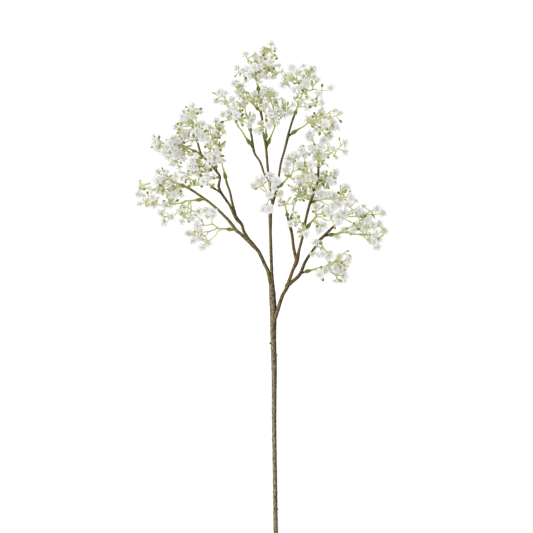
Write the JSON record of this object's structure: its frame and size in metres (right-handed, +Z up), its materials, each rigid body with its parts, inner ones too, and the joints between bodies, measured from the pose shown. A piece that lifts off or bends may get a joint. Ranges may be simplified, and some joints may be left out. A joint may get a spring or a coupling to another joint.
{
  "type": "gypsophila stem",
  "caption": "Cut stem of gypsophila lying down: a woody forked stem with green-sleeved sprays of white double blooms and buds",
  "frame": {"origin": "On the table the stem lies on, under the middle of its bounding box", "axes": "+Y along the stem from the cut end to the crown, +Z up from the table, +X to the right across the stem"},
  "size_m": [0.307, 0.5984, 0.1166],
  "materials": {
    "bark": "rough matte",
    "flower": "soft matte"
  },
  "bodies": {
    "root": {"woody_stem": "bark", "spray_left_low": "flower", "spray_left_hanging": "flower", "spray_left_tip": "flower", "spray_left_inner_low": "flower", "spray_left_inner_tip": "flower", "spray_left_mid": "flower", "spray_left_crown": "flower", "spray_left_upper_inner": "flower", "spray_left_upper_outer": "flower", "spray_crown_tip": "flower", "spray_crown_left": "flower", "spray_crown_low_left": "flower", "spray_crown_far_left": "flower", "spray_crown_mid": "flower", "spray_crown_mid_right": "flower", "spray_crown_right_tip": "flower", "spray_crown_right_side": "flower", "spray_middle_right": "flower", "spray_middle_fork": "flower", "spray_right_low": "flower", "spray_right_inner_drop": "flower", "spray_right_reach": "flower", "spray_right_tip": "flower", "spray_right_upright_low": "flower", "spray_right_upright_drop": "flower", "spray_right_inner_tip": "flower", "spray_right_inner_fork": "flower", "spray_right_upper_side": "flower", "spray_right_crown": "flower", "spray_right_crown_left": "flower", "spray_right_mid": "flower"}
  },
  "joints": []
}
